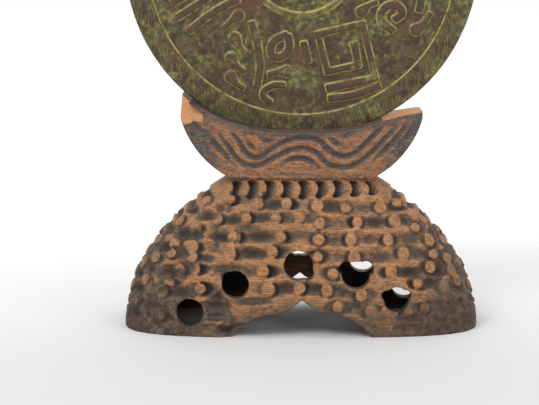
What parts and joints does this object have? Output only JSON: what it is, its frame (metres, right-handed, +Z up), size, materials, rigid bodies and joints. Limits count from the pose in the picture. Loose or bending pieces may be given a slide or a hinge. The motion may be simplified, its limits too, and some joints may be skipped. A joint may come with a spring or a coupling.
{
  "type": "tam tam gong on a stand",
  "caption": "Cast bronze relief disc standing on edge in the groove of a boat-shaped wooden cradle, on a hollow carved rockwork base; the disc lifts straight up out of the groove.",
  "frame": {"origin": "centre of the base's footprint on the table top", "axes": "+Z up, +X to the viewer's right along the disc and the cradle, -Y towards the viewer in front of the relief face"},
  "size_m": [0.3061, 0.127, 0.463],
  "materials": {
    "bronze": "cast bronze with a brown and olive patina, verdigris along the relief",
    "cradle_wood": "carved hardwood, dark stain worn to bare wood on the ridges",
    "base_wood": "gouge-carved hardwood, dark stain worn and dusty, bare wood on the high spots",
    "dowel_wood": "plain turned hardwood"
  },
  "bodies": {
    "stand": {"rock_base": "base_wood", "cradle": "cradle_wood", "dowel_left": "dowel_wood", "dowel_right": "dowel_wood"},
    "disc": {"gong_disc": "bronze"}
  },
  "joints": [
    {"name": "disc_lift", "type": "slide", "parent": "stand", "child": "disc", "axis": [0, 0, 1], "range_m": [0, 0.06]}
  ]
}
